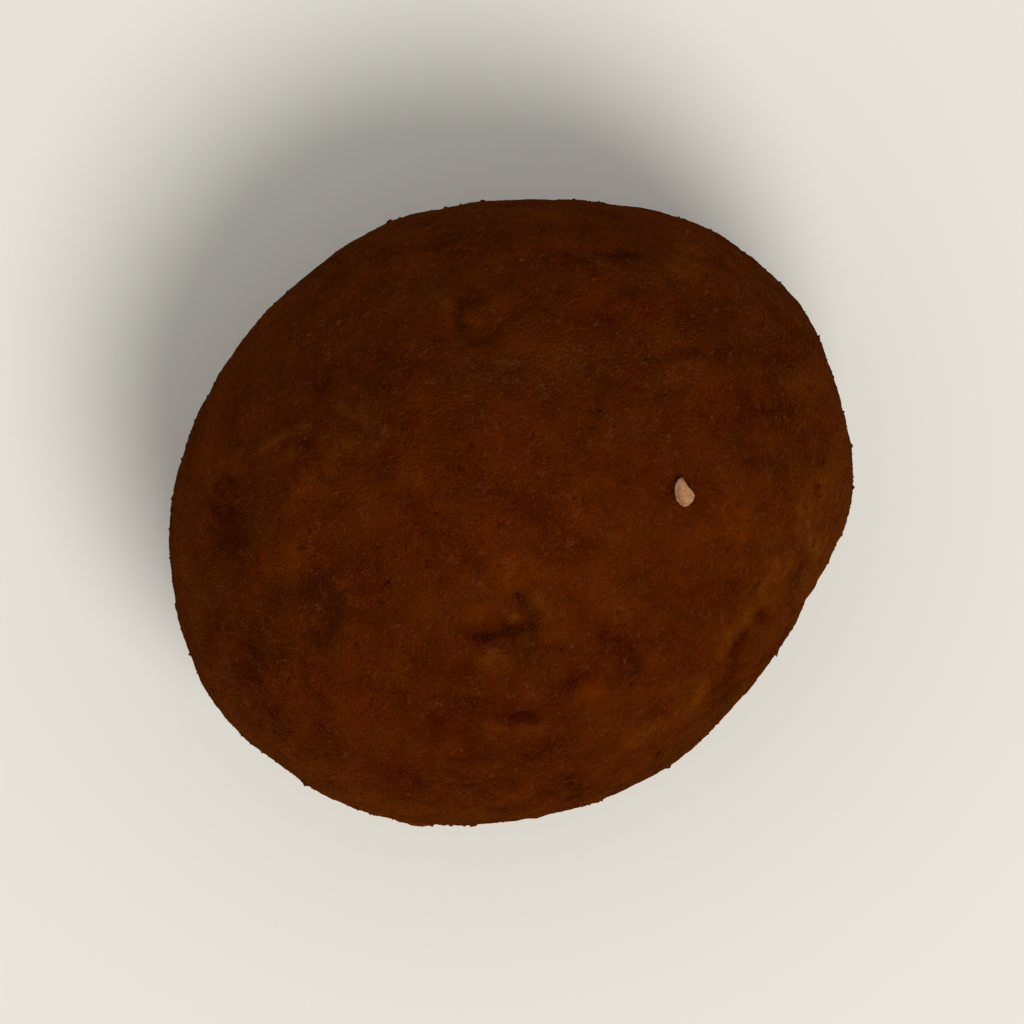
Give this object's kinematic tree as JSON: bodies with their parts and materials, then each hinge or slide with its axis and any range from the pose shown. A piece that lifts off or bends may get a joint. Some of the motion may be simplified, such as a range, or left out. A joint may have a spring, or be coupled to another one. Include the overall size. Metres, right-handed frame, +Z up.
{
  "type": "chocolate dragee",
  "caption": "Hand-rolled round chocolate dragee with an uneven, matt coat of dark cocoa powder.",
  "frame": {"origin": "on the surface under the dragee, in the middle of its footprint", "axes": "+Z up. +X is the right and +Y the top of the dragee as it is seen from straight above; its longest side runs along X."},
  "size_m": [0.0268, 0.0246, 0.024],
  "materials": {
    "cocoa_coating": "matt cocoa powder"
  },
  "bodies": {
    "root": {"dragee": "cocoa_coating"}
  },
  "joints": []
}
